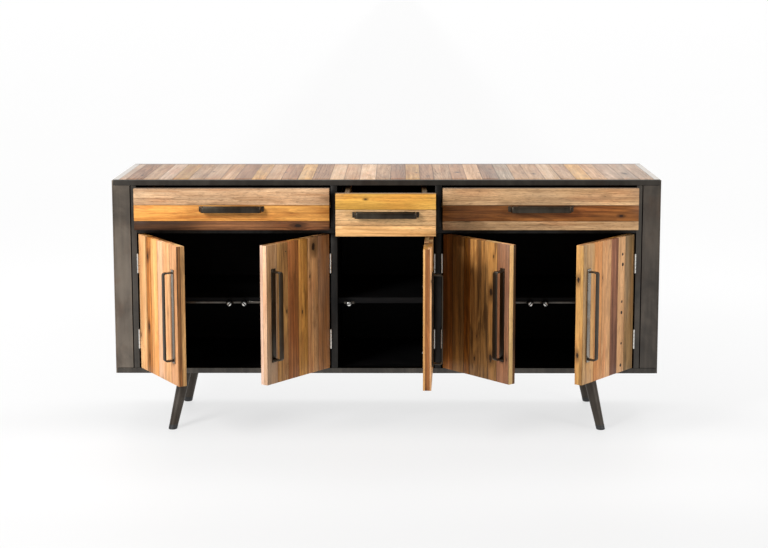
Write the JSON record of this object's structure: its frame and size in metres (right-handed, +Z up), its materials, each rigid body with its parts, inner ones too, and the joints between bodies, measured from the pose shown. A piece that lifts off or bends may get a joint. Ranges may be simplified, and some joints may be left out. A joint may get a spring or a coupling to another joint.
{
  "type": "sideboard buffet",
  "caption": "Long low sideboard with a steel-framed case on splayed tapered legs, inset plank doors on butt hinges, plank drawers above them, bar handles and a plank top in a steel rim.",
  "frame": {"origin": "on the floor below the centre of the whole object's box at rest, with its doors ajar and drawers pulled out as stored", "axes": "+X to the right along the case as seen from the front, +Y towards the back, +Z up"},
  "size_m": [1.8, 0.8217, 0.855],
  "materials": {
    "patinated_steel": "dark patinated steel, clear lacquered, satin",
    "handle_steel": "dark steel flat bar, satin",
    "weathered_plank": "weathered reclaimed planks, matt lacquer",
    "reclaimed_plank": "reclaimed planks in mixed colours, satin lacquer",
    "drawer_wood": "light plain wood",
    "black_board": "black painted board, matt",
    "nickel": "nickel-plated steel",
    "glide_plastic": "black moulded plastic"
  },
  "bodies": {
    "case": {"front_top_rail": "patinated_steel", "front_bottom_rail": "patinated_steel", "rear_top_rail": "patinated_steel", "drawer_rail": "patinated_steel", "left_stile": "patinated_steel", "right_stile": "patinated_steel", "left_side_cover": "patinated_steel", "right_side_cover": "patinated_steel", "plank_top": "weathered_plank", "bottom_board": "black_board", "back_panel": "black_board", "left_divider": "black_board", "right_divider": "black_board", "left_shelf": "black_board", "middle_shelf": "black_board", "right_shelf": "black_board", "front_left_leg": "patinated_steel", "front_right_leg": "patinated_steel", "rear_left_leg": "patinated_steel", "rear_right_leg": "patinated_steel", "front_left_glide": "glide_plastic", "front_right_glide": "glide_plastic", "rear_left_glide": "glide_plastic", "rear_right_glide": "glide_plastic", "drawer_1_left_runner": "drawer_wood", "drawer_1_right_runner": "drawer_wood", "drawer_2_left_runner": "drawer_wood", "drawer_2_right_runner": "drawer_wood", "drawer_3_left_runner": "drawer_wood", "drawer_3_right_runner": "drawer_wood", "door_1_upper_hinge": "nickel", "door_1_lower_hinge": "nickel", "door_2_upper_hinge": "nickel", "door_2_lower_hinge": "nickel", "door_3_upper_hinge": "nickel", "door_3_lower_hinge": "nickel", "door_4_upper_hinge": "nickel", "door_4_lower_hinge": "nickel", "door_5_upper_hinge": "nickel", "door_5_lower_hinge": "nickel"},
    "door_1": {"door_1": "reclaimed_plank", "door_1_handle": "handle_steel"},
    "door_2": {"door_2": "reclaimed_plank", "door_2_handle": "handle_steel"},
    "door_3": {"door_3": "reclaimed_plank", "door_3_handle": "handle_steel"},
    "door_4": {"door_4": "reclaimed_plank", "door_4_handle": "handle_steel"},
    "door_5": {"door_5": "reclaimed_plank", "door_5_handle": "handle_steel"},
    "drawer_1": {"drawer_1_front": "reclaimed_plank", "drawer_1_box": "drawer_wood", "drawer_1_handle": "handle_steel"},
    "drawer_2": {"drawer_2_front": "reclaimed_plank", "drawer_2_box": "drawer_wood", "drawer_2_handle": "handle_steel"},
    "drawer_3": {"drawer_3_front": "reclaimed_plank", "drawer_3_box": "drawer_wood", "drawer_3_handle": "handle_steel"}
  },
  "joints": [
    {"name": "door_1_hinge", "type": "hinge", "parent": "case", "child": "door_1", "pos_m": [-0.8195, -0.09267, 0.452], "axis": [0, 0, -1], "range_deg": [-59.3, 35.7]},
    {"name": "door_2_hinge", "type": "hinge", "parent": "case", "child": "door_2", "pos_m": [-0.1835, -0.09267, 0.452], "axis": [0, 0, 1], "range_deg": [-53.2, 41.8]},
    {"name": "door_3_hinge", "type": "hinge", "parent": "case", "child": "door_3", "pos_m": [0.1595, -0.09267, 0.452], "axis": [0, 0, 1], "range_deg": [-87.8, 0.2]},
    {"name": "door_4_hinge", "type": "hinge", "parent": "case", "child": "door_4", "pos_m": [0.1835, -0.09267, 0.452], "axis": [0, 0, -1], "range_deg": [-49.5, 28.5]},
    {"name": "door_5_hinge", "type": "hinge", "parent": "case", "child": "door_5", "pos_m": [0.8195, -0.09267, 0.452], "axis": [0, 0, 1], "range_deg": [-52, 43]},
    {"name": "drawer_1_slide", "type": "slide", "parent": "case", "child": "drawer_1", "axis": [0, -1, 0], "range_m": [-0.068, 0.272]},
    {"name": "drawer_2_slide", "type": "slide", "parent": "case", "child": "drawer_2", "axis": [0, -1, 0], "range_m": [-0.201, 0.139]},
    {"name": "drawer_3_slide", "type": "slide", "parent": "case", "child": "drawer_3", "axis": [0, -1, 0], "range_m": [-0.066, 0.274]}
  ]
}
